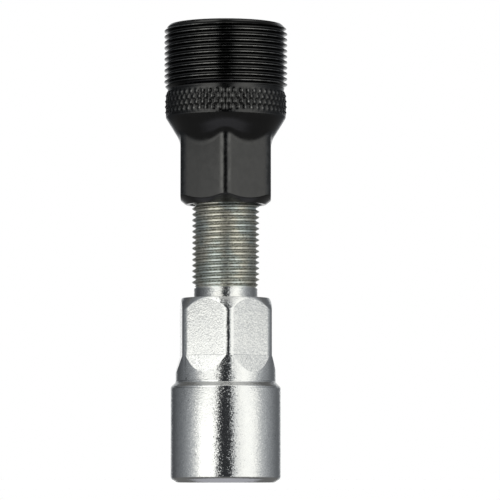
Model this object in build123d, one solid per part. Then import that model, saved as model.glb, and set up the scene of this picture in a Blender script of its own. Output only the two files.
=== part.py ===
from build123d import *
import math
import os

# Crank puller, standing on its socket. Origin at the centre of the socket's rim, +Z up along the spindle.
# Lengths in millimetres, angles in degrees. Threads are drawn as level ridges, one for each pitch.

os.makedirs("parts", exist_ok=True)

# Spindle: socket end and neck
socket_diameter = 19.4
socket_length = 16.8
socket_rim_width = 1.0
socket_rim_height = 0.68
shoulder_height = 0.7
shoulder_round = 0.4
neck_diameter = 17.64
neck_length = 1.75

# Spindle: recess for the head of a crank bolt
recess_flats = 14.1
recess_depth = 11.0
recess_pilot_diameter = 13.9
recess_relief_depth = 2.0
recess_drill_angle = 118.0
recess_mouth_diameter = 16.6
recess_mouth_half_angle = 60.0

# Spindle: wrench hexagon, with flats that run out on a bevel into the neck
spindle_flats = 15.8
spindle_hex_length = 10.25
spindle_corner_radius = 1.9
spindle_hex_turn = 4.2
flat_runout_length = 2.95
spindle_top_chamfer_angle = 27.0
spindle_top_diameter = 15.5

# Spindle: collar, screw thread and nose
collar_diameter = 11.2
collar_length = 1.75
screw_diameter = 11.88
screw_pitch = 1.0
screw_relief_length = 0.4
screw_end_chamfer = 0.6
screw_exposed = 14.8
nose_diameter = 7.2
nose_length = 3.6
nose_groove_diameter = 6.3

# Puller body: wrench hexagon and cone
body_flats = 15.95
body_hex_length = 11.1
body_corner_radius = 2.3
body_foot_diameter = 14.2
body_foot_angle = 38.0
cone_length = 4.25
cone_top_diameter = 21.2
cone_blend_radius = 3.5

# Puller body: knurled band and the thread that screws into the crank
band_length = 4.65
band_bulge = 0.17
band_edge_chamfer = 0.25
crank_relief_length = 0.45
crank_thread_diameter = 21.8
crank_thread_length = 11.45
crank_pitch = 1.0
crank_rim_chamfer = 0.9

# Puller body: nut bore and mouth
mouth_diameter = 17.0
mouth_depth = 13.5
mouth_chamfer = 0.5
nut_entry_chamfer = 0.5

# Swivel tip and thrust ball
tip_diameter = 12.4
tip_top_thickness = 3.0
tip_edge_chamfer = 0.8
tip_lip_height = 1.0
ball_diameter = 4.0
ball_pocket_angle = 118.0

# A metric thread of pitch P is 0.6134 P deep, and its crest is P/8 wide
thread_depth_share = 0.6134
crest_share = 1 / 8

# Clearances and play
screw_clearance = 0.05
journal_clearance = 0.05
ball_clearance = 0.03
lip_clearance = 0.1
skirt_gap = 0.3
nose_gap = 0.5
retract_play = 2.0

# Heights along the axis, worked out from the lengths above
neck_bottom = socket_length + shoulder_height
runout_bottom = neck_bottom + neck_length
spindle_hex_bottom = runout_bottom + flat_runout_length
spindle_hex_top = spindle_hex_bottom + spindle_hex_length
collar_top = spindle_hex_top + collar_length
body_bottom = collar_top + screw_exposed
cone_bottom = body_bottom + body_hex_length
cone_top = cone_bottom + cone_length
band_top = cone_top + band_length
crank_thread_bottom = band_top + crank_relief_length
body_top = crank_thread_bottom + crank_thread_length
mouth_floor = body_top - mouth_depth
skirt_bottom = mouth_floor + retract_play
screw_top = skirt_bottom - skirt_gap
nose_top = screw_top + nose_length
ball_centre = nose_top + nose_gap / 2
tip_ceiling = nose_top + nose_gap
tip_top = tip_ceiling + tip_top_thickness
nut_bore_diameter = screw_diameter + 2 * screw_clearance


def turned(points):
    """Solid of revolution about Z of a closed outline of (radius, height) points."""
    return revolve(make_face(Plane.XZ * Polyline(points, close=True)), Axis.Z)


def thread_ridges(crest_radius, pitch, crest_width, bottom, count):
    """Points of (radius, height) up a row of ridges that meet in sharp roots, one ridge for each pitch."""
    root_radius = crest_radius - thread_depth_share * pitch
    points = [(root_radius, bottom)]
    for ridge in range(count):
        crest_height = bottom + (ridge + 0.5) * pitch
        if crest_width:
            points.append((crest_radius, crest_height - crest_width / 2))
        points.append((crest_radius, crest_height + crest_width / 2))
        points.append((root_radius, bottom + (ridge + 1) * pitch))
    return points


def wrench_hexagon(flats, corner_radius, turn):
    """Hexagon with rounded corners, one of them towards -Y before it is turned."""
    hexagon = RegularPolygon(flats / 2, 6, major_radius=False, rotation=30 + turn)
    return fillet(hexagon.vertices(), corner_radius)


def cone_plug(base_radius, bottom, half_angle, height):
    """Cone frustum on Z that widens from a base radius, downwards where the height is negative."""
    far_radius = base_radius + abs(height) * math.tan(math.radians(half_angle))
    return turned([(0, bottom), (base_radius, bottom), (far_radius, bottom + height), (0, bottom + height)])


def ball_pocket(direction):
    """Drilled pocket for the ball, from its centre down into the nose (-1) or up into the tip (1)."""
    radius = ball_diameter / 2 + ball_clearance
    half_angle = math.radians(ball_pocket_angle / 2)
    point = radius / math.sin(half_angle)
    wall = point - radius / math.tan(half_angle)
    outline = [(0, 0), (radius, 0), (radius, wall), (0, point)]
    return turned([(r, ball_centre + direction * height) for r, height in outline])


def build_spindle():
    socket_radius = socket_diameter / 2
    neck_radius = neck_diameter / 2
    base = turned([
        (0, 0), (socket_radius - socket_rim_width, 0), (socket_radius, socket_rim_height),
        (socket_radius, socket_length), (neck_radius, neck_bottom), (0, neck_bottom),
    ])
    shoulder_edge = base.edges().filter_by_position(Axis.Z, socket_length, socket_length)
    base = fillet(shoulder_edge, shoulder_round)

    # The flats: straight down to the bevel, which leans out until it meets the round neck
    bevel_rise = (neck_diameter - spindle_flats) / 2
    bevel_height = spindle_hex_bottom - neck_bottom
    bevel_flats = spindle_flats + 2 * bevel_rise * bevel_height / flat_runout_length
    upper_outline = wrench_hexagon(spindle_flats, spindle_corner_radius, spindle_hex_turn)
    upper = Pos(Z=spindle_hex_bottom) * extrude(upper_outline, spindle_hex_length)
    bevel_foot = RegularPolygon(bevel_flats / 2, 6, major_radius=False, rotation=30 + spindle_hex_turn)
    bevel_head = RegularPolygon(spindle_flats / 2, 6, major_radius=False, rotation=30 + spindle_hex_turn)
    bevel = loft([Pos(Z=neck_bottom) * bevel_foot, Pos(Z=spindle_hex_bottom) * bevel_head])
    neck = turned([
        (0, neck_bottom), (neck_radius, neck_bottom),
        (neck_radius, spindle_hex_bottom), (0, spindle_hex_bottom),
    ])
    top_radius = spindle_top_diameter / 2
    top_chamfer = cone_plug(top_radius, spindle_hex_top, spindle_top_chamfer_angle, -spindle_hex_length)
    hexagon = (upper & top_chamfer) + (bevel & neck)

    # Collar, screw thread with its relief, and the nose with its groove for the tip's lip. The thread has its
    # ridges up to the nut bore, and is plain inside it
    collar_radius = collar_diameter / 2
    screw_radius = screw_diameter / 2
    nose_radius = nose_diameter / 2
    groove_radius = nose_groove_diameter / 2
    relief_top = collar_top + screw_relief_length
    ridge_count = math.ceil((body_bottom + nut_entry_chamfer - relief_top) / screw_pitch)
    ridges = thread_ridges(screw_radius, screw_pitch, 0, relief_top, ridge_count)
    root_radius, ridges_top = ridges[-1]
    groove_top = skirt_bottom + tip_lip_height + lip_clearance
    screw = turned([
        (0, spindle_hex_top), (collar_radius, spindle_hex_top), (collar_radius, collar_top),
        (root_radius, collar_top), *ridges,
        (screw_radius, ridges_top + screw_radius - root_radius),
        (screw_radius, screw_top - screw_end_chamfer), (screw_radius - screw_end_chamfer, screw_top),
        (groove_radius, screw_top), (groove_radius, groove_top),
        (nose_radius, groove_top), (nose_radius, nose_top), (0, nose_top),
    ])

    # Broached recess: hexagon, round pilot hole below it, drill point, and a chamfered mouth
    hexagon_recess = extrude(
        RegularPolygon(recess_flats / 2, 6, major_radius=False, rotation=30 + spindle_hex_turn), recess_depth
    )
    pilot_radius = recess_pilot_diameter / 2
    pilot_depth = recess_depth + recess_relief_depth
    drill_height = pilot_radius / math.tan(math.radians(recess_drill_angle / 2))
    pilot = turned([(0, 0), (pilot_radius, 0), (pilot_radius, pilot_depth), (0, pilot_depth + drill_height)])
    mouth_radius = recess_mouth_diameter / 2
    mouth_height = mouth_radius / math.tan(math.radians(recess_mouth_half_angle))
    mouth = turned([(0, 0), (mouth_radius, 0), (0, mouth_height)])
    return base + hexagon + screw - ball_pocket(-1) - hexagon_recess - pilot - mouth


def build_puller_body():
    cone_top_radius = cone_top_diameter / 2
    flats_radius = body_flats / 2
    cone_slope = (cone_top_radius - flats_radius) / cone_length
    core_radius = nut_bore_diameter / 2
    core_bottom = cone_bottom - (flats_radius - core_radius) / cone_slope
    thread_radius = crank_thread_diameter / 2
    ridge_count = math.ceil(crank_thread_length / crank_pitch)
    ridges = thread_ridges(
        thread_radius, crank_pitch, crest_share * crank_pitch, crank_thread_bottom, ridge_count
    )

    # Turned upper part: cone, barrel-shaped band, thread relief, thread
    band_middle = (cone_top + band_top) / 2
    band_head = band_top - band_edge_chamfer
    cone_side = Polyline((0, core_bottom), (core_radius, core_bottom), (cone_top_radius, cone_top))
    band_side = ThreePointArc(
        (cone_top_radius, cone_top), (cone_top_radius + band_bulge, band_middle), (cone_top_radius, band_head)
    )
    thread_side = Polyline(
        (cone_top_radius, band_head), (cone_top_radius - band_edge_chamfer, band_top),
        (ridges[0][0], band_top), *ridges,
        (0, ridges[-1][1]), (0, core_bottom),
    )
    upper = revolve(make_face(Plane.XZ * (cone_side + band_side + thread_side)), Axis.Z)

    # Wrench hexagon, which meets the cone in a blended scallop above each flat
    hexagon = extrude(wrench_hexagon(body_flats, body_corner_radius, 0), body_hex_length + cone_length)
    outside = upper + Pos(Z=body_bottom) * hexagon
    scallops = [
        edge for edge in outside.edges().filter_by(GeomType.LINE, reverse=True)
        if cone_bottom <= edge.center().Z < cone_top
    ]
    outside = fillet(scallops, cone_blend_radius)

    # Turned chamfers at the foot and at the rim
    body_length = body_top - body_bottom
    foot_cone = cone_plug(body_foot_diameter / 2, body_bottom, 90 - body_foot_angle, body_length)
    rim_cone = cone_plug(thread_radius - crank_rim_chamfer, body_top, 45, -body_length)
    outside = outside & foot_cone & rim_cone

    # Nut bore from below, mouth from above
    mouth_radius = mouth_diameter / 2
    entry_top = body_bottom + nut_entry_chamfer
    hollow = turned([
        (0, body_bottom), (core_radius + nut_entry_chamfer, body_bottom), (core_radius, entry_top),
        (core_radius, mouth_floor), (mouth_radius, mouth_floor), (mouth_radius, body_top - mouth_chamfer),
        (mouth_radius + mouth_chamfer, body_top), (0, body_top),
    ])
    return outside - hollow


def build_swivel_tip():
    radius = tip_diameter / 2
    bore_radius = nose_diameter / 2 + journal_clearance
    lip_radius = nose_groove_diameter / 2 + journal_clearance
    lip_top = skirt_bottom + tip_lip_height
    cap = turned([
        (lip_radius, skirt_bottom), (radius, skirt_bottom), (radius, tip_top - tip_edge_chamfer),
        (radius - tip_edge_chamfer, tip_top), (0, tip_top), (0, tip_ceiling),
        (bore_radius, tip_ceiling), (bore_radius, lip_top), (lip_radius, lip_top),
    ])
    return cap - ball_pocket(1)


def build_thrust_ball():
    return Pos(Z=ball_centre) * Sphere(ball_diameter / 2)


pieces = {
    "spindle": build_spindle(),
    "puller_body": build_puller_body(),
    "swivel_tip": build_swivel_tip(),
    "thrust_ball": build_thrust_ball(),
}
for name, piece in pieces.items():
    export_step(piece, f"parts/{name}.step")
    print(name, "volume", round(piece.volume, 2), "mm3, top", round(piece.bounding_box().max.Z, 2), "mm")
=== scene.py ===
import math

import bmesh
import bpy
import numpy as np
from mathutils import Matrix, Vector


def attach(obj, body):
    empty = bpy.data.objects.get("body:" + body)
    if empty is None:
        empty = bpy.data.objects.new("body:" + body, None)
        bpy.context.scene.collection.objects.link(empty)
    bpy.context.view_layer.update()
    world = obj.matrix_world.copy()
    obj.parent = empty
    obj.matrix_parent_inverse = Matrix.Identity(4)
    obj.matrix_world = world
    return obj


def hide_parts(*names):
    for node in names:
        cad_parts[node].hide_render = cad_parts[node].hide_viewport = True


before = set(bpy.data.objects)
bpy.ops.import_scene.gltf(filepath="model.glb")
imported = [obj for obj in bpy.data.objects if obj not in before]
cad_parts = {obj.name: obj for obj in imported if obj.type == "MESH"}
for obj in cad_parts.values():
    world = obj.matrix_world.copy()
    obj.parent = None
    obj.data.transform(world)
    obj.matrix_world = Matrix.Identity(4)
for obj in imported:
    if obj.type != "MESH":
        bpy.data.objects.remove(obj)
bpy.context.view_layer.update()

# Sizes are in millimetres and angles in degrees, counter-clockwise from +X seen from above. The front is -Y.
frontAngle = -90.0
millimetre = 0.001          # metres
weldGap = 2e-6              # metres
sharpAngle = 38.0           # an edge that turns by more than this stays crisp

# One pitch of a rounded 60 degree ridge, for a pitch of 1 mm: height along the axis, and depth under the
# crest
fineRidge = np.array([
    (0.00, 0.613), (0.08, 0.608), (0.135, 0.575), (0.18, 0.50), (0.40, 0.075), (0.435, 0.02),
    (0.50, 0.000), (0.565, 0.02), (0.60, 0.075), (0.82, 0.50), (0.865, 0.575), (0.92, 0.608),
])
coarseRidge = fineRidge[[0, 2, 3, 4, 6, 8, 9, 10]]


# Angle from a flat's middle to where its corner's rounding starts: atan((apothem - r) tan(30) / apothem)
def tangentAngle(apothem, cornerRadius):
    return math.degrees(math.atan((apothem - cornerRadius) * math.tan(math.radians(30)) / apothem))


# Radius of a rounded hexagon in a direction. On a flat it is apothem / cos(a), with a the angle from the
# flat's middle. Near a corner it is c cos(d) + sqrt(r^2 - (c sin(d))^2), with d the angle from the corner
# and c the distance of its circle's centre
def hexagonRadius(angle, apothem, cornerRadius, turn):
    fromFlat = np.abs((angle - turn - frontAngle) % 60 - 30)
    onFlat = apothem / np.cos(np.radians(fromFlat))
    centre = (apothem - cornerRadius) / math.cos(math.radians(30))
    fromCorner = np.radians(30 - fromFlat)
    inside = np.maximum(cornerRadius ** 2 - (centre * np.sin(fromCorner)) ** 2, 0)
    onCorner = centre * np.cos(fromCorner) + np.sqrt(inside)
    return np.where(fromFlat > tangentAngle(apothem, cornerRadius), onCorner, onFlat)


# Angles of the columns round a hexagon: even steps along each flat, and finer even steps round each corner
def hexagonColumns(sizes, turn):
    start = tangentAngle(sizes["apothem"], sizes["cornerRadius"])
    half = sizes["cornerColumns"] // 2
    sector = np.concatenate([
        np.linspace(-30, -start, half, endpoint=False),
        np.linspace(-start, start, sizes["flatColumns"], endpoint=False),
        np.linspace(start, 30, half, endpoint=False),
    ])
    return (frontAngle + 30 + turn + 60 * np.arange(6)[:, None] + sector).ravel()


# Rows of a turned or milled profile, from corners of (radius, height, angle) or (radius, height, angle,
# cut, steps). A corner P with a cut is cut back by it towards its neighbours, to A and B, and rounded by
# the curve (1-t)^2 A + 2t(1-t) P + t^2 B, for all columns at once
def roundedRows(corners, columns):
    tiny, mostOfSide = 1e-9, 0.45
    points = np.array([[np.broadcast_to(np.asarray(v, float), columns) for v in c[:3]] for c in corners])
    rows = [points[0]]
    for before, here, after, corner in zip(points, points[1:], points[2:], corners[1:]):
        if len(corner) == 3:
            rows.append(here)
            continue
        cut, steps = corner[3:]
        lengthBefore = np.hypot(*(before - here)[:2]) + tiny
        lengthAfter = np.hypot(*(after - here)[:2]) + tiny
        back = np.minimum(cut, mostOfSide * np.minimum(lengthBefore, lengthAfter))
        start = here + (before - here) * back / lengthBefore
        end = here + (after - here) * back / lengthAfter
        for t in np.linspace(0, 1, steps + 1):
            rows.append((1 - t) ** 2 * start + 2 * t * (1 - t) * here + t ** 2 * end)
    rows.append(points[-1])
    return np.array(rows)


# Points (r cos a, r sin a, z) of rows of (radius, height, angle), in metres
def rowPoints(rows):
    radius, height, angle = rows[:, 0], rows[:, 1], np.radians(rows[:, 2])
    points = np.stack([radius * np.cos(angle), radius * np.sin(angle), height], axis=-1)
    return points.reshape(-1, 3) * millimetre


# Quads between neighbouring rows and columns; the last column meets the first one, shifted by seamRows rows
def rowQuads(rowCount, columnCount, seamRows=0):
    row, column = np.meshgrid(np.arange(rowCount - 1), np.arange(columnCount), indexing="ij")
    nextColumn = (column + 1) % columnCount
    nextRow = row + np.where(nextColumn == 0, seamRows, 0)
    keep = nextRow + 1 < rowCount
    row, column, nextColumn, nextRow = row[keep], column[keep], nextColumn[keep], nextRow[keep]
    return np.stack([
        row * columnCount + column, nextRow * columnCount + nextColumn,
        (nextRow + 1) * columnCount + nextColumn, (row + 1) * columnCount + column,
    ], axis=-1)


# A patch of (points, faces, first mask, second mask) from closed rows: every row joined to the next one by
# quads. The first mask marks rubbing, dullness and painted highlight, the second painted shade
def patchFromRows(rows, wearDullAndHighlight=0.0, paintedShade=0.0):
    return rowPoints(rows), rowQuads(len(rows), rows.shape[2]), wearDullAndHighlight, paintedShade


# A screw thread on a helical grid: height = crest + pitch (turns + phase - 1/2 + (angle - front) / 360), and
# radius = crest radius - depth(phase), under the end chamfers, with what lies past an end drawn onto it
def threadPatch(angles, ridge, sizes, lowRadius, highRadius):
    low, high, pitch = sizes["threadBottom"], sizes["threadTop"], sizes["threadPitch"]
    turnsBelow, turnsAbove, hair = 2, 4, 1e-6
    turns = np.arange(math.floor((low - sizes["threadCrestHeight"]) / pitch) - turnsBelow,
                      math.ceil((high - sizes["threadCrestHeight"]) / pitch) + turnsAbove)
    phase = (turns[:, None] + ridge[:, 0]).ravel()
    depth = np.tile(ridge[:, 1], len(turns)) * pitch
    lead = (angles - frontAngle) / 360
    height = sizes["threadCrestHeight"] + pitch * (phase[:, None] - 0.5 + lead)
    radius = np.broadcast_to((sizes["threadRadius"] - depth)[:, None], height.shape)
    root = sizes["threadRadius"] - ridge[:, 1].max() * pitch
    radius = np.minimum(radius, np.minimum(lowRadius + height - low, highRadius + high - height))
    radius = np.where(height >= high, min(highRadius, root), radius)
    radius = np.where(height <= low, min(lowRadius, root), radius)
    height = np.clip(height, low, high)
    rows = np.stack([radius, height, np.broadcast_to(angles, height.shape)], axis=1)
    quads = rowQuads(len(phase), len(angles), len(ridge))
    corners = height.ravel()[quads]
    live = (corners.min(axis=1) < high - hair) & (corners.max(axis=1) > low + hair)
    return rowPoints(rows), quads[live], radius.ravel()


# Masks on a thread, by depth under the crests: the first falls from 1 on the crests, which are rubbed lighter
# and so also given a painted highlight, and the second, painted shade, is 1 on the flanks and 0 on crests and
# roots
def ridgeMasks(radii, sizes):
    crestBand, flankStart, rootStart, rootBand = 0.06, 0.02, 0.60, 0.08
    depth = sizes["threadRadius"] - radii
    wearDullAndHighlight = np.clip(1 - depth / crestBand, 0, 1)
    paintedShade = np.clip((depth - flankStart) / crestBand, 0, 1) * np.clip((rootStart - depth) / rootBand, 0, 1)
    return wearDullAndHighlight, paintedShade


# One object from patches: merged where they meet, smooth apart from the sharp edges, with both masks kept as
# attributes
def pieceFromPatches(name, patches):
    points = np.concatenate([p[0] for p in patches])
    starts = np.cumsum([0] + [len(p[0]) for p in patches[:-1]])
    faces = [face for patch, start in zip(patches, starts) for face in (patch[1] + start).tolist()]
    mesh = bpy.data.meshes.new(name)
    mesh.from_pydata(points, [], faces)
    for mask, column in (("wearDullAndHighlight", 2), ("paintedShade", 3)):
        values = np.concatenate([np.broadcast_to(p[column], len(p[0])) for p in patches]).astype(np.float32)
        mesh.attributes.new(mask, "FLOAT", "POINT").data.foreach_set("value", values)
    work = bmesh.new()
    work.from_mesh(mesh)
    bmesh.ops.remove_doubles(work, verts=work.verts, dist=weldGap)
    bmesh.ops.dissolve_degenerate(work, edges=work.edges, dist=weldGap / 10)
    loose = [v for v in work.verts if not v.link_faces]
    bmesh.ops.delete(work, geom=loose, context="VERTS")
    work.to_mesh(mesh)
    openEdges = sum(1 for e in work.edges if len(e.link_faces) != 2)
    work.free()
    mesh.shade_smooth()
    mesh.set_sharp_from_angle(angle=math.radians(sharpAngle))
    piece = bpy.data.objects.new(name, mesh)
    bpy.context.scene.collection.objects.link(piece)
    print(name, "faces", len(mesh.polygons), "open edges", openEdges)
    return piece


puller = {
    "bore": 5.99, "boreChamfer": 0.5, "mouthRadius": 8.5, "mouthFloor": 67.4, "mouthChamfer": 0.5,
    "bottom": 49.0, "footRadius": 7.1, "footAngle": 38.0,
    "apothem": 7.975, "cornerRadius": 2.3, "flatColumns": 20, "cornerColumns": 18,
    "coneBottom": 60.1, "coneTop": 64.35, "coneTopRadius": 10.6, "coneShare": 0.55,
    "bandTop": 69.0, "bandBulge": 0.17, "bandChamfer": 0.22,
    "knurlRows": 18, "knurlRise": 0.04, "knurlDepth": 0.30,
    "knurlShape": (1.0, 0.50, 0.0),             # depth at a groove, a quarter tooth away and on the point
    # Painted shade darkens the knurl's grooves; its points are rubbed lighter, which also gives them a
    # painted highlight
    "knurlFadeLow": 64.4, "knurlFadeHigh": 65.4, "knurlPaintedShade": 0.55, "knurlPointPower": 4,
    "threadBottom": 69.45, "threadTop": 80.9, "threadRadius": 10.9, "rimChamfer": 0.9,
    "threadPitch": 1.0, "threadCrestHeight": 70.03,
    "turnedCut": 0.08, "mouthCut": 0.2, "edgeCut": 0.14, "blendCut": 1.3,
    # A painted highlight beside the hexagon's corners: heights above the bottom, angles from a corner, and
    # its amount
    "highlightHeights": (0.2, 1.0), "highlightAngles": (8, 13), "highlightAmount": 0.25, "highlightGap": 0.02,
}


# Diamond knurl on a lattice whose odd rows are shifted by half a column, so that both families of grooves
# lie on its edges: depth = knurlDepth max(shape(u), shape(v)), with u, v = the way round +- the way up, in
# teeth
def knurlPatch(sizes, angles):
    columnsPerTooth, rowsPerTooth = 4, 8
    low, high = sizes["coneTop"], sizes["bandTop"] - sizes["bandChamfer"]
    rowCount, columnCount = sizes["knurlRows"] + 1, len(angles)
    row = np.arange(rowCount)[:, None]
    angle = angles + (row % 2) * 180.0 / columnCount
    height = low + (high - low) * row / (rowCount - 1) + np.zeros(columnCount)
    across = (np.arange(columnCount) + (row % 2) * 0.5) / columnsPerTooth
    up = row / rowsPerTooth
    grooveDistance = [np.abs(u - np.round(u)) for u in (across + up, across - up)]
    groove = np.maximum(*[np.interp(d, (0, 0.25, 0.5), sizes["knurlShape"]) for d in grooveDistance])
    fade = np.clip((height - sizes["knurlFadeLow"]) / (sizes["knurlFadeHigh"] - sizes["knurlFadeLow"]), 0, 1)
    fade = fade * fade * (3 - 2 * fade)
    middle, half = (low + high) / 2, (high - low) / 2
    barrel = sizes["coneTopRadius"] + sizes["bandBulge"] * (1 - ((height - middle) / half) ** 2)
    radius = barrel + fade * (sizes["knurlRise"] - sizes["knurlDepth"] * groove)
    rows = np.stack([radius, height, angle], axis=1)
    lower, column = np.meshgrid(np.arange(rowCount - 1), np.arange(columnCount), indexing="ij")
    lower, column = lower.ravel(), column.ravel()
    odd = lower % 2
    nextColumn = (column + 1) % columnCount
    a, b = lower * columnCount + column, lower * columnCount + nextColumn
    c, d = a + columnCount, b + columnCount
    evenFaces = [np.stack([a, b, c], -1)[odd == 0], np.stack([b, d, c], -1)[odd == 0]]
    oddFaces = [np.stack([a, d, c], -1)[odd == 1], np.stack([a, b, d], -1)[odd == 1]]
    # The points are rubbed lighter, which also serves as a painted highlight on them
    wearDullAndHighlight = (1 - groove).ravel() ** sizes["knurlPointPower"] * fade.ravel()
    # Painted shade in the grooves, strongest at their bottoms
    paintedShade = sizes["knurlPaintedShade"] * (groove * fade).ravel()
    return (rowPoints(rows), np.concatenate(evenFaces + oddFaces), wearDullAndHighlight, paintedShade), rows[-1]


# The puller body as profiles of (radius, height) in every direction: from the rim down the mouth and the
# bore, out over the foot, whose height grows by tan(footAngle) with the radius, and up the hexagon and the
# cone, which meet where height = coneBottom + (side - apothem) / slope. The knurl, the neck and the thread
# follow
def buildPuller(sizes):
    hexAngles = hexagonColumns(sizes, 0)
    columns = len(hexAngles)
    even = hexAngles[0] + 360 * np.arange(columns) / columns
    hexSide = hexagonRadius(hexAngles, sizes["apothem"], sizes["cornerRadius"], 0)
    foot = sizes["bottom"] + (hexSide - sizes["footRadius"]) * math.tan(math.radians(sizes["footAngle"]))
    slope = (sizes["coneTopRadius"] - sizes["apothem"]) / (sizes["coneTop"] - sizes["coneBottom"])
    scallop = sizes["coneBottom"] + (hexSide - sizes["apothem"]) / slope
    share = sizes["coneShare"]
    coneRadius = hexSide + share * (sizes["coneTopRadius"] - hexSide)
    coneHeight = scallop + share * (sizes["coneTop"] - scallop)
    coneAngle = hexAngles + share * (even - hexAngles)
    rimRadius = sizes["threadRadius"] - sizes["rimChamfer"]
    turnedEdge = (sizes["turnedCut"], 3)
    lowerSide = roundedRows([
        (rimRadius, sizes["threadTop"], even),
        (sizes["mouthRadius"] + sizes["mouthChamfer"], sizes["threadTop"], even, *turnedEdge),
        (sizes["mouthRadius"], sizes["threadTop"] - sizes["mouthChamfer"], even, *turnedEdge),
        (sizes["mouthRadius"], sizes["mouthFloor"], even, sizes["mouthCut"], 4),
        (sizes["bore"] + sizes["boreChamfer"], sizes["mouthFloor"], even),
        (sizes["bore"], sizes["mouthFloor"] - sizes["boreChamfer"], even),
        (sizes["bore"], sizes["bottom"] + sizes["boreChamfer"], even),
        (sizes["bore"] + sizes["boreChamfer"], sizes["bottom"], even),
        (sizes["footRadius"], sizes["bottom"], hexAngles, *turnedEdge),
        (hexSide, foot, hexAngles, sizes["edgeCut"], 4),
        (hexSide, scallop, hexAngles, sizes["blendCut"], 8),
        (coneRadius, coneHeight, coneAngle),
        (sizes["coneTopRadius"], sizes["coneTop"], even),
    ], columns)
    # A painted highlight: the hexagon's flats are lighter just beside each corner, from a little above the
    # bottom up
    fromCorner = np.abs((even - frontAngle + 30) % 60 - 30)
    aboveBottom = lowerSide[:, 1] - sizes["bottom"]
    onSide = np.interp(aboveBottom, sizes["highlightHeights"], (0, 1))
    onSide = onSide * (np.abs(lowerSide[:, 0] - hexSide) < sizes["highlightGap"])
    cornerHighlight = onSide * np.interp(fromCorner, sizes["highlightAngles"], (sizes["highlightAmount"], 0))
    knurl, knurlTop = knurlPatch(sizes, even)
    root = sizes["threadRadius"] - fineRidge[:, 1].max() * sizes["threadPitch"]
    neck = roundedRows([
        (knurlTop[0], knurlTop[1], even),
        (sizes["coneTopRadius"] - sizes["bandChamfer"], sizes["bandTop"], even),
        (root, sizes["bandTop"], even, *turnedEdge),
        (root, sizes["threadBottom"], even),
    ], columns)
    threadPoints, threadQuads, threadRadii = threadPatch(even, fineRidge, sizes, root, rimRadius)
    return pieceFromPatches("pullerBody", [
        patchFromRows(lowerSide, cornerHighlight.ravel()), knurl, patchFromRows(neck),
        (threadPoints, threadQuads, *ridgeMasks(threadRadii, sizes)),
    ])


spindle = {
    "turn": 4.2, "flatColumns": 20, "cornerColumns": 20,
    "recessApothem": 7.05, "recessDepth": 11.0, "pilotRadius": 6.95, "pilotDepth": 13.0, "drillAngle": 59.0,
    "recessMouthRadius": 8.3, "recessMouthAngle": 60.0,
    "socketRadius": 9.7, "rimRadius": 8.7, "rimHeight": 0.68, "socketTop": 16.78,
    "neckRadius": 8.82, "neckBottom": 17.62,
    "apothem": 7.9, "cornerRadius": 1.9, "hexBottom": 22.2, "hexTop": 32.45, "bevelLength": 2.95,
    "leastReach": 0.01,         # of the bevel under a corner, where the neck is inside the hexagon
    "topRadius": 7.75, "topAngle": 27.0,
    "collarRadius": 5.6, "collarTop": 34.2, "reliefRadius": 5.3, "threadBottom": 34.4,
    "threadTop": 69.1, "threadRadius": 5.94, "endChamfer": 0.6, "threadPitch": 1.0, "threadCrestHeight": 35.5,
    "grooveRadius": 3.15, "grooveTop": 70.5, "noseRadius": 3.6, "noseTop": 72.7,
    "pocketRadius": 2.03, "pocketWall": 71.8, "pocketPoint": 70.58,
    "rimCut": 0.45, "shoulderCut": 0.30, "noseCut": 0.2, "softCut": 0.12, "edgeCut": 0.10, "fineCut": 0.06,
    "innerCut": 0.05,
    # The first amount here is painted shade on the thread's flanks
    "threadPaintedShade": 0.55, "collarDull": 0.15, "collarMargin": 0.01,
}


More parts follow.
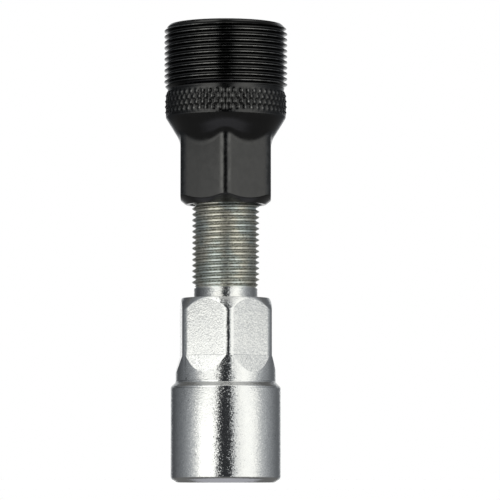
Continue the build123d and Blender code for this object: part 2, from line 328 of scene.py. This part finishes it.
# The spindle as profiles of (radius, height) in every direction: from the drill point down through the
# recess, out over the socket's rim and up to the collar, then the screw, then the nose. The flats run out
# on a bevel, which meets the neck where height = hexBottom - reach / slope, and the top chamfer falls by 1
# / tan(topAngle)
def buildSpindle(sizes):
    turn = sizes["turn"]
    angles = hexagonColumns(sizes, turn)
    columns = len(angles)
    recess = hexagonRadius(angles, sizes["recessApothem"], 0, turn)
    recessMouth = (sizes["recessMouthRadius"] - recess) / math.tan(math.radians(sizes["recessMouthAngle"]))
    hexSide = hexagonRadius(angles, sizes["apothem"], sizes["cornerRadius"], turn)
    fromFlat = np.radians((angles - turn - frontAngle) % 60 - 30)
    bevelSlope = (sizes["neckRadius"] - sizes["apothem"]) / sizes["bevelLength"]
    reach = np.maximum(sizes["neckRadius"] * np.cos(fromFlat) - sizes["apothem"], sizes["leastReach"])
    neckTop = sizes["hexBottom"] - reach / bevelSlope
    hexTop = sizes["hexTop"] - (hexSide - sizes["topRadius"]) / math.tan(math.radians(sizes["topAngle"]))
    drillPoint = sizes["pilotDepth"] + sizes["pilotRadius"] / math.tan(math.radians(sizes["drillAngle"]))
    root = sizes["threadRadius"] - coarseRidge[:, 1].max() * sizes["threadPitch"]
    fineCut, softCut, edgeCut = sizes["fineCut"], sizes["softCut"], sizes["edgeCut"]
    lower = roundedRows([
        (0, drillPoint, angles),
        (sizes["pilotRadius"], sizes["pilotDepth"], angles, edgeCut, 2),
        (sizes["pilotRadius"], sizes["recessDepth"], angles),
        (recess, sizes["recessDepth"], angles),
        (recess, recessMouth, angles, sizes["innerCut"], 2),
        (sizes["recessMouthRadius"], 0, angles, fineCut, 3),
        (sizes["rimRadius"], 0, angles, fineCut, 3),
        (sizes["socketRadius"], sizes["rimHeight"], angles, sizes["rimCut"], 6),
        (sizes["socketRadius"], sizes["socketTop"], angles, sizes["shoulderCut"], 5),
        (sizes["neckRadius"], sizes["neckBottom"], angles, sizes["shoulderCut"], 5),
        (sizes["neckRadius"], neckTop, angles, sizes["innerCut"], 3),
        (hexSide, sizes["hexBottom"], angles, softCut, 4),
        (hexSide, hexTop, angles, edgeCut, 4),
        (sizes["topRadius"], sizes["hexTop"], angles, fineCut, 3),
        (sizes["collarRadius"], sizes["hexTop"], angles, softCut, 3),
        (sizes["collarRadius"], sizes["collarTop"], angles, softCut, 3),
        (sizes["reliefRadius"], sizes["collarTop"], angles),
        (sizes["reliefRadius"], sizes["threadBottom"], angles),
    ], columns)
    upper = roundedRows([
        (root, sizes["threadTop"], angles),
        (sizes["grooveRadius"], sizes["threadTop"], angles, edgeCut, 3),
        (sizes["grooveRadius"], sizes["grooveTop"], angles, edgeCut, 3),
        (sizes["noseRadius"], sizes["grooveTop"], angles, fineCut, 2),
        (sizes["noseRadius"], sizes["noseTop"], angles, sizes["noseCut"], 3),
        (sizes["pocketRadius"], sizes["noseTop"], angles, fineCut, 2),
        (sizes["pocketRadius"], sizes["pocketWall"], angles),
        (0, sizes["pocketPoint"], angles),
    ], columns)
    endRadius = sizes["threadRadius"] - sizes["endChamfer"]
    threadPoints, threadQuads, threadRadii = threadPatch(angles, coarseRidge, sizes, sizes["reliefRadius"],
                                                         endRadius)
    # Painted shade on the thread's flanks
    paintedShade = sizes["threadPaintedShade"] * ridgeMasks(threadRadii, sizes)[1]
    onCollar = lower[:, 1] > sizes["hexTop"] - sizes["collarMargin"]
    return pieceFromPatches("spindleBar", [
        patchFromRows(lower, sizes["collarDull"] * onCollar.ravel()),
        (threadPoints, threadQuads, 1.0, paintedShade), patchFromRows(upper),
    ])


tip = {
    "columns": 144, "radius": 6.2, "bottom": 69.4, "top": 76.2, "edgeChamfer": 0.8,
    "lipRadius": 3.2, "lipTop": 70.4, "boreRadius": 3.65, "ceiling": 73.2,
    "pocketRadius": 2.03, "pocketWall": 74.1, "pocketPoint": 75.32,
    "centreRadius": 0.8, "centreDepth": 0.35,
    "skirtCut": 0.25, "lipCut": 0.15, "edgeCut": 0.12, "centreCut": 0.08,
}


# The tip as one profile of (radius, height), the same in every direction: from the ball's pocket down the
# bore, out under the lip and the skirt, and up over the face to its centre mark
def buildTip(sizes):
    columns = sizes["columns"]
    angles = frontAngle + 360 * np.arange(columns) / columns
    cap = roundedRows([
        (0, sizes["pocketPoint"], angles),
        (sizes["pocketRadius"], sizes["pocketWall"], angles),
        (sizes["pocketRadius"], sizes["ceiling"], angles),
        (sizes["boreRadius"], sizes["ceiling"], angles),
        (sizes["boreRadius"], sizes["lipTop"], angles),
        (sizes["lipRadius"], sizes["lipTop"], angles),
        (sizes["lipRadius"], sizes["bottom"], angles, sizes["lipCut"], 3),
        (sizes["radius"], sizes["bottom"], angles, sizes["skirtCut"], 4),
        (sizes["radius"], sizes["top"] - sizes["edgeChamfer"], angles, sizes["edgeCut"], 3),
        (sizes["radius"] - sizes["edgeChamfer"], sizes["top"], angles, sizes["edgeCut"], 3),
        (sizes["centreRadius"], sizes["top"], angles, sizes["centreCut"], 3),
        (0, sizes["top"] - sizes["centreDepth"], angles),
    ], columns)
    return pieceFromPatches("pressureTip", [patchFromRows(cap)])


# A node's input takes either a link from another node's output or a plain value
def connect(tree, socket, value):
    if isinstance(value, bpy.types.NodeSocket):
        tree.links.new(value, socket)
    else:
        socket.default_value = value


# A node with its settings, and its inputs by name
def addNode(tree, kind, inputs=None, **settings):
    node = tree.nodes.new(kind)
    for key, value in settings.items():
        setattr(node, key, value)
    for key, value in (inputs or {}).items():
        connect(tree, node.inputs[key], value)
    return node


# One sum on single values, such as a + b, or a b + c for MULTIPLY_ADD
def maths(tree, operation, *values, clamp=False):
    inputs = dict(enumerate(values))
    return addNode(tree, "ShaderNodeMath", inputs, operation=operation, use_clamp=clamp).outputs[0]


# The same on vectors
def vectorMaths(tree, operation, *values):
    return addNode(tree, "ShaderNodeVectorMath", dict(enumerate(values)), operation=operation).outputs[0]


# A + factor (B - A)
def mixColours(tree, factor, first, second):
    inputs = {"Factor": factor, "A": first, "B": second}
    return addNode(tree, "ShaderNodeMix", inputs, data_type="RGBA").outputs["Result"]


# Smooth step from bottom, where the value is at low, to top, where it is at high
def ease(tree, value, low, high, bottom=0.0, top=1.0):
    inputs = {"Value": value, "From Min": low, "From Max": high, "To Min": bottom, "To Max": top}
    return addNode(tree, "ShaderNodeMapRange", inputs, interpolation_type="SMOOTHSTEP").outputs["Result"]


# Cloudy noise, 0 to 1, on the given place
def noise(tree, place, scale, detail=2.0, roughness=0.5):
    inputs = {"Vector": place, "Scale": scale, "Detail": detail, "Roughness": roughness}
    return addNode(tree, "ShaderNodeTexNoise", inputs).outputs["Fac"]


# A mask that a mesh carries
def maskOf(tree, name):
    return addNode(tree, "ShaderNodeAttribute", attribute_name=name).outputs["Fac"]


# An empty material, its node tree and its output
def newMaterial(name):
    material = bpy.data.materials.new(name)
    material.use_nodes = True
    tree = material.node_tree
    tree.nodes.clear()
    return material, tree, tree.nodes.new("ShaderNodeOutputMaterial")


# A Principled shader with the given inputs, on the material's output
def finishMaterial(tree, output, inputs):
    shader = addNode(tree, "ShaderNodeBsdfPrincipled", {"Metallic": 1.0, **inputs})
    tree.links.new(shader.outputs[0], output.inputs["Surface"])


mottle = {
    "rippleScale": 900.0, "pitScale": 650.0, "pitSizeScale": 420.0, "pitSizes": (0.52, 0.72),
    "pitReach": 0.22, "leastPit": 0.0001, "lineScale": (300.0, 300.0, 9000.0), "grainRoughness": 0.55,
    "shineEdges": (0.3, 0.7),
}
surfaceSockets = ("Grain Size", "Grain", "Ripple", "Pits", "Lines")


# Shared effect: a mottled, slightly pitted metal surface, from the grain's size and four amounts.
# Height = Grain grain + Ripple ripple + Lines lines - Pits pits, and a pit is 1 - distance / reach
def mottledSurfaceGroup():
    group = bpy.data.node_groups.new("mottledSurface", "ShaderNodeTree")
    for name in surfaceSockets:
        group.interface.new_socket(name, in_out="INPUT", socket_type="NodeSocketFloat")
    for name in ("Height", "Pit Mask", "Mottle"):
        group.interface.new_socket(name, in_out="OUTPUT", socket_type="NodeSocketFloat")
    start, end = group.nodes.new("NodeGroupInput"), group.nodes.new("NodeGroupOutput")
    place = addNode(group, "ShaderNodeTexCoord").outputs["Object"]
    grain = noise(group, place, start.outputs["Grain Size"], roughness=mottle["grainRoughness"])
    ripple = noise(group, place, mottle["rippleScale"])
    cells = addNode(group, "ShaderNodeTexVoronoi",
                    {"Vector": place, "Scale": mottle["pitScale"], "Randomness": 1.0})
    pitSize = noise(group, place, mottle["pitSizeScale"], detail=1.0)
    reach = maths(group, "MULTIPLY", ease(group, pitSize, *mottle["pitSizes"]), mottle["pitReach"])
    reach = maths(group, "ADD", reach, mottle["leastPit"])
    fromCentre = maths(group, "DIVIDE", cells.outputs["Distance"], reach)
    pit = maths(group, "SUBTRACT", 1.0, fromCentre, clamp=True)
    stretched = addNode(group, "ShaderNodeMapping", {"Vector": place, "Scale": mottle["lineScale"]})
    lines = noise(group, stretched.outputs[0], 1.0)
    height = maths(group, "MULTIPLY", grain, start.outputs["Grain"])
    height = maths(group, "ADD", height, maths(group, "MULTIPLY", ripple, start.outputs["Ripple"]))
    height = maths(group, "ADD", height, maths(group, "MULTIPLY", lines, start.outputs["Lines"]))
    height = maths(group, "SUBTRACT", height, maths(group, "MULTIPLY", pit, start.outputs["Pits"]))
    group.links.new(height, end.inputs["Height"])
    group.links.new(pit, end.inputs["Pit Mask"])
    group.links.new(ripple, end.inputs["Mottle"])
    return group


# The shared surface in a material, with a finish's own values, and the bumped normal that it gives
def placeSurface(tree, surface, finish, **under):
    group = addNode(tree, "ShaderNodeGroup", node_tree=surface)
    for name in surfaceSockets:
        group.inputs[name].default_value = finish[name]
    inputs = {"Strength": 1.0, "Distance": finish["bumpHeight"], "Height": group.outputs["Height"], **under}
    return group, addNode(tree, "ShaderNodeBump", inputs).outputs["Normal"]


zinc = {
    "Grain Size": 4000.0, "Grain": 1.0, "Ripple": 0.0, "Pits": 0.5, "Lines": 0.0, "bumpHeight": 0.000014,
    "crystalScale": 7000.0, "crystalLean": (0.75, 0.75, 0.15),
    "light": (0.85, 0.855, 0.83, 1), "grey": (0.77, 0.78, 0.775, 1),
    "pit": (0.16, 0.16, 0.16, 1), "pitShare": 0.8,
    "threadWarm": (0.88, 0.87, 0.77, 1), "threadCool": (0.78, 0.84, 0.80, 1),
    "patchScale": 260.0, "patchEdges": (0.42, 0.62),
    # The dark colour paints shade on the thread's flanks, and also colours the dark specks
    "shadeAndSpecks": (0.25, 0.245, 0.21, 1), "paintedShadeReach": 0.6, "paintedShadeEdges": (0.66, 0.90),
    "speckScale": 3800.0, "speckDetail": 3.0, "speckRoughness": 0.6, "speckEdges": (0.56, 0.68),
    "speckShare": 0.08, "threadSpecks": 0.47,
    "roughness": (0.09, 0.14), "threadRoughness": 0.25,
}


# Bright zinc plate. Each crystal leans its own way, mostly sideways, and a few lean far: normal + lean
# (random - 0.5)^3. A mask marks the thread, which is dull, with warm and bluish patches and dark specks, and
# its flanks are darkened with painted shade
def zincMaterial(surface):
    material, tree, output = newMaterial("brightZincPlate")
    place = addNode(tree, "ShaderNodeTexCoord").outputs["Object"]
    crystals = addNode(tree, "ShaderNodeTexVoronoi",
                       {"Vector": place, "Scale": zinc["crystalScale"], "Randomness": 1.0}).outputs["Color"]
    offset = vectorMaths(tree, "SUBTRACT", crystals, (0.5, 0.5, 0.5))
    cube = vectorMaths(tree, "MULTIPLY", vectorMaths(tree, "MULTIPLY", offset, offset), offset)
    lean = vectorMaths(tree, "MULTIPLY", cube, zinc["crystalLean"])
    straight = addNode(tree, "ShaderNodeNewGeometry").outputs["Normal"]
    leaning = vectorMaths(tree, "NORMALIZE", vectorMaths(tree, "ADD", straight, lean))
    group, normal = placeSurface(tree, surface, zinc, Normal=leaning)
    plate = mixColours(tree, group.outputs["Mottle"], zinc["light"], zinc["grey"])
    pits = maths(tree, "MULTIPLY", group.outputs["Pit Mask"], zinc["pitShare"])
    plate = mixColours(tree, pits, plate, zinc["pit"])

    dull, paintedShade = maskOf(tree, "wearDullAndHighlight"), maskOf(tree, "paintedShade")
    patches = noise(tree, place, zinc["patchScale"])
    speckle = noise(tree, place, zinc["speckScale"], zinc["speckDetail"], zinc["speckRoughness"])
    coolShare = ease(tree, patches, *zinc["patchEdges"])
    thread = mixColours(tree, coolShare, zinc["threadWarm"], zinc["threadCool"])
    colour = mixColours(tree, dull, plate, thread)
    # Painted shade on the thread's flanks, broken up by the speckle
    flankShade = ease(tree, maths(tree, "MULTIPLY_ADD", paintedShade, zinc["paintedShadeReach"], speckle), *zinc["paintedShadeEdges"])
    speckShare = maths(tree, "MULTIPLY_ADD", dull, zinc["threadSpecks"], zinc["speckShare"])
    specks = maths(tree, "MULTIPLY", ease(tree, speckle, *zinc["speckEdges"]), speckShare)
    colour = mixColours(tree, maths(tree, "MAXIMUM", flankShade, specks), colour, zinc["shadeAndSpecks"])
    roughness = ease(tree, group.outputs["Mottle"], *mottle["shineEdges"], *zinc["roughness"])
    roughness = maths(tree, "MULTIPLY_ADD", dull, zinc["threadRoughness"], roughness)
    finishMaterial(tree, output, {"Base Color": colour, "Roughness": roughness, "Normal": normal})
    return material


oxide = {
    "Grain Size": 5200.0, "Grain": 0.5, "Ripple": 0.25, "Pits": 0.4, "Lines": 0.2, "bumpHeight": 0.00001,
    # The dark colour is painted shade in grooves and on flanks; the light one is rubbed oxide and painted
    # highlight
    "clean": (0.062, 0.062, 0.061, 1), "shadeAndSpecks": (0.012, 0.012, 0.012, 1), "wornAndHighlight": (0.26, 0.26, 0.25, 1),
    "unevenEdges": (0.40, 0.62), "unevenLeast": 0.35, "roughness": (0.16, 0.24),
}


# Black oxide on steel: darkened with painted shade on the thread's flanks and in the knurl's grooves, and
# lighter, unevenly, where rubbed on crests and points, which also gives them a painted highlight, and as a
# painted highlight beside the hexagon's corners
def blackOxideMaterial(surface):
    material, tree, output = newMaterial("blackOxide")
    group, normal = placeSurface(tree, surface, oxide)
    uneven = ease(tree, group.outputs["Mottle"], *oxide["unevenEdges"], oxide["unevenLeast"], 1.0)
    wornAndHighlight = maths(tree, "MULTIPLY", maskOf(tree, "wearDullAndHighlight"), uneven)
    colour = mixColours(tree, maskOf(tree, "paintedShade"), oxide["clean"], oxide["shadeAndSpecks"])
    colour = mixColours(tree, wornAndHighlight, colour, oxide["wornAndHighlight"])
    roughness = ease(tree, group.outputs["Mottle"], *mottle["shineEdges"], *oxide["roughness"])
    finishMaterial(tree, output, {"Base Color": colour, "Roughness": roughness, "Normal": normal})
    return material


turned = {
    "Grain Size": 6000.0, "Grain": 0.15, "Ripple": 0.15, "Pits": 0.0, "Lines": 0.6, "bumpHeight": 0.000008,
    "shade": 0.85,
    "tipColour": (0.62, 0.62, 0.60), "tipRoughness": 0.28,
    "ballColour": (0.75, 0.75, 0.75), "ballRoughness": 0.08,
}


# Turned steel with fine level lines, mottled between its colour and a darker shade of it
def turnedSteelMaterial(surface, name, colour, roughness):
    material, tree, output = newMaterial(name)
    group, normal = placeSurface(tree, surface, turned)
    darker = [turned["shade"] * v for v in colour]
    tint = mixColours(tree, group.outputs["Mottle"], (*colour, 1), (*darker, 1))
    finishMaterial(tree, output, {"Base Color": tint, "Roughness": roughness, "Normal": normal})
    return material


# A piece gets its material, rides on its body and stands for its node
def dress(piece, material, body, node):
    piece.data.materials.append(material)
    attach(piece, body)
    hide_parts(node)


studio = {
    # Azimuth from the camera's side in degrees, and the light's strength there
    "ring": [(-180, 0.90), (-164, 0.50), (-150, 0.09), (-138, 0.08), (-123, 0.13), (-101, 0.20),
             (-83, 0.36), (-70, 0.62), (-62, 0.92), (-56, 1.36), (-27, 1.42), (-20, 1.15), (-16, 0.15),
             (-12, 0.03), (8, 0.03), (12.5, 0.05), (16.5, 0.50), (22, 0.84), (31, 1.06), (44, 1.20),
             (57, 1.20), (66, 1.06), (80, 0.57), (98, 0.34), (119, 0.20), (138, 0.13), (152, 0.16),
             (165, 0.50), (180, 0.90)],
    "ringCool": 0.06, "ringWarm": 0.975,
    "ceiling": (0.55, 0.55, 0.54, 1), "backCeiling": (0.12, 0.12, 0.12, 1), "strip": (0.15, 0.15, 0.15, 1),
    "floorGlow": (0.42, 0.42, 0.46, 1), "sideGlow": (0.16, 0.16, 0.19, 1),
    # Where each light starts and is full, as parts of a direction one long: z is up, y is backward, x is
    # sideways
    "bandLow": (0.10, 0.118), "bandHigh": (0.35, 0.20), "bandSpread": 0.45,
    "leftEdge": (-0.15, -0.35), "leftLow": (0.06, 0.11), "leftDim": -0.30,
    "backEdge": (0.10, 0.45), "ceilingEdge": (0.80, 0.97), "ceilingLean": 0.4,
    "stripEdge": (-0.12, -0.34), "floorEdge": (-0.70, -0.83), "sideEdge": (0.45, 0.75),
    "behind": (0.95, 0.99),
}


# The light round the object: a ring of panels, a ceiling that darkens towards the back, a dark strip under
# the ring, and a pale floor's glow. Camera rays and transmitted rays see white instead, and so do glossy
# rays that go straight back
def buildWorld():
    world = bpy.data.worlds.new("studio")
    bpy.context.scene.world = world
    world.use_nodes = True
    tree = world.node_tree
    tree.nodes.clear()
    direction = addNode(tree, "ShaderNodeTexCoord").outputs["Generated"]
    x, y, z = addNode(tree, "ShaderNodeSeparateXYZ", {"Vector": direction}).outputs
    azimuth = maths(tree, "ARCTAN2", x, maths(tree, "MULTIPLY", y, -1.0))

    # In a band above eye level the panels stand closer together: azimuth + spread azimuth (1 - |azimuth| /
    # pi)
    room = maths(tree, "MULTIPLY_ADD", maths(tree, "ABSOLUTE", azimuth), -1 / math.pi, 1.0)
    bandTop = ease(tree, z, *studio["bandHigh"])
    band = maths(tree, "MULTIPLY", ease(tree, z, *studio["bandLow"], 0.0, studio["bandSpread"]), bandTop)
    spread = maths(tree, "MULTIPLY", maths(tree, "MULTIPLY", azimuth, room), band)
    azimuth = maths(tree, "ADD", azimuth, spread)
    place = maths(tree, "MULTIPLY_ADD", azimuth, 1 / (2 * math.pi), 0.5)
    ramp = addNode(tree, "ShaderNodeValToRGB", {"Fac": place})
    stops = ramp.color_ramp.elements
    while len(stops) < len(studio["ring"]):
        stops.new(0.5)
    for stop, (angle, level) in zip(stops, studio["ring"]):
        stop.position = angle / 360 + 0.5
        cool = max(0.0, studio["ringCool"] * (1 - level))
        stop.color = (level * (1 - cool), level, level * (studio["ringWarm"] + 2 * cool), 1)
    # The left panels are dimmer in that band
    leftBand = maths(tree, "MULTIPLY", ease(tree, z, *studio["leftLow"]), bandTop)
    leftSide = maths(tree, "MULTIPLY", ease(tree, azimuth, *studio["leftEdge"]), leftBand)
    dim = maths(tree, "MULTIPLY_ADD", leftSide, studio["leftDim"], 1.0)
    ring = addNode(tree, "ShaderNodeVectorMath", {0: ramp.outputs["Color"], "Scale": dim}, operation="SCALE")

    backward = ease(tree, y, *studio["backEdge"])
    upward = maths(tree, "MULTIPLY_ADD", backward, studio["ceilingLean"], z)
    above = ease(tree, upward, *studio["ceilingEdge"])
    ceiling = mixColours(tree, backward, studio["ceiling"], studio["backCeiling"])
    light = mixColours(tree, above, ring.outputs[0], ceiling)
    light = mixColours(tree, ease(tree, z, *studio["stripEdge"]), light, studio["strip"])
    toSide = ease(tree, maths(tree, "ABSOLUTE", x), *studio["sideEdge"])
    floorLight = mixColours(tree, toSide, studio["floorGlow"], studio["sideGlow"])
    light = mixColours(tree, ease(tree, z, *studio["floorEdge"]), light, floorLight)
    lit = addNode(tree, "ShaderNodeBackground", {"Color": light, "Strength": 1.0})
    white = addNode(tree, "ShaderNodeBackground", {"Color": (1, 1, 1, 1), "Strength": 1.0})
    ray = addNode(tree, "ShaderNodeLightPath").outputs
    behind = maths(tree, "MULTIPLY", ray["Is Glossy Ray"], ease(tree, y, *studio["behind"]))
    seen = maths(tree, "ADD", ray["Is Camera Ray"], ray["Is Transmission Ray"], clamp=True)
    seen = maths(tree, "MAXIMUM", seen, behind)
    mixed = addNode(tree, "ShaderNodeMixShader", {0: seen, 1: lit.outputs[0], 2: white.outputs[0]})
    output = tree.nodes.new("ShaderNodeOutputWorld")
    tree.links.new(mixed.outputs[0], output.inputs["Surface"])


floorSheet = {
    "radius": 0.30,             # metres
    "columns": 96, "fade": (0.3, 0.98), "colour": 0.75, "glow": 0.86,
}


# The floor: a round sheet, x = radius cos(angle) and y = radius sin(angle), that fades out at its rim. It
# is white to the camera apart from the object's shadow, and clear from below and to glossy and transmitted
# rays
def buildFloor():
    count, radius = floorSheet["columns"], floorSheet["radius"]
    angle = 2 * np.pi * np.arange(count) / count
    rim = np.stack([np.cos(angle), np.sin(angle), np.zeros(count)], -1) * radius
    mesh = bpy.data.meshes.new("floorSheet")
    mesh.from_pydata(rim, [], [list(range(count))])
    floor = bpy.data.objects.new("floorSheet", mesh)
    bpy.context.scene.collection.objects.link(floor)
    material, tree, output = newMaterial("paleFloor")
    place = addNode(tree, "ShaderNodeTexCoord").outputs["Object"]
    distance = addNode(tree, "ShaderNodeVectorMath", {0: place}, operation="LENGTH").outputs["Value"]
    fade = ease(tree, distance, *[radius * share for share in floorSheet["fade"]])
    ray = addNode(tree, "ShaderNodeLightPath").outputs
    matt = addNode(tree, "ShaderNodeBsdfDiffuse", {"Color": (floorSheet["colour"],) * 3 + (1,)})
    glow = maths(tree, "MULTIPLY", ray["Is Camera Ray"], floorSheet["glow"])
    emission = addNode(tree, "ShaderNodeEmission", {"Color": (1, 1, 1, 1), "Strength": glow})
    lit = addNode(tree, "ShaderNodeAddShader", {0: matt.outputs[0], 1: emission.outputs[0]})
    clear = addNode(tree, "ShaderNodeBsdfTransparent")
    fromBelow = addNode(tree, "ShaderNodeNewGeometry").outputs["Backfacing"]
    unseen = maths(tree, "ADD", ray["Is Glossy Ray"], ray["Is Transmission Ray"], clamp=True)
    unseen = maths(tree, "MAXIMUM", fade, maths(tree, "MAXIMUM", unseen, fromBelow))
    mixed = addNode(tree, "ShaderNodeMixShader", {0: unseen, 1: lit.outputs[0], 2: clear.outputs[0]})
    tree.links.new(mixed.outputs[0], output.inputs["Surface"])
    floor.data.materials.append(material)


view = {
    "lens": 252.0, "sensorWidth": 36.0,                                         # millimetres
    "clipStart": 0.01, "clipEnd": 20.0,                                         # metres, as are the next two
    "place": (0.00428, -0.617, 0.0015), "target": (0.00428, 0.0, 0.0410),
}


# A long lens, low over the floor, turned so that its axis runs from its place to the target
def buildCamera():
    camera = bpy.data.cameras.new("camera")
    camera.lens, camera.sensor_width = view["lens"], view["sensorWidth"]
    camera.clip_start, camera.clip_end = view["clipStart"], view["clipEnd"]
    viewer = bpy.data.objects.new("camera", camera)
    place, target = Vector(view["place"]), Vector(view["target"])
    viewer.location = place
    viewer.rotation_euler = (target - place).to_track_quat("-Z", "Y").to_euler()
    bpy.context.scene.collection.objects.link(viewer)
    bpy.context.scene.camera = viewer


bpy.context.scene.view_settings.view_transform = "Standard"
buildCamera()
buildWorld()
buildFloor()
print("camera and studio are set")
surface = mottledSurfaceGroup()
dress(buildPuller(puller), blackOxideMaterial(surface), "puller", "puller_body")
print("puller body is made")
dress(buildSpindle(spindle), zincMaterial(surface), "spindle", "spindle")
print("spindle is made")
tipSteel = turnedSteelMaterial(surface, "turnedSteel", turned["tipColour"], turned["tipRoughness"])
dress(buildTip(tip), tipSteel, "tip", "swivel_tip")
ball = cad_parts["thrust_ball"]
ball.data.materials.clear()
ballSteel = turnedSteelMaterial(surface, "bearingSteel", turned["ballColour"], turned["ballRoughness"])
ball.data.materials.append(ballSteel)
print("tip and ball are made")
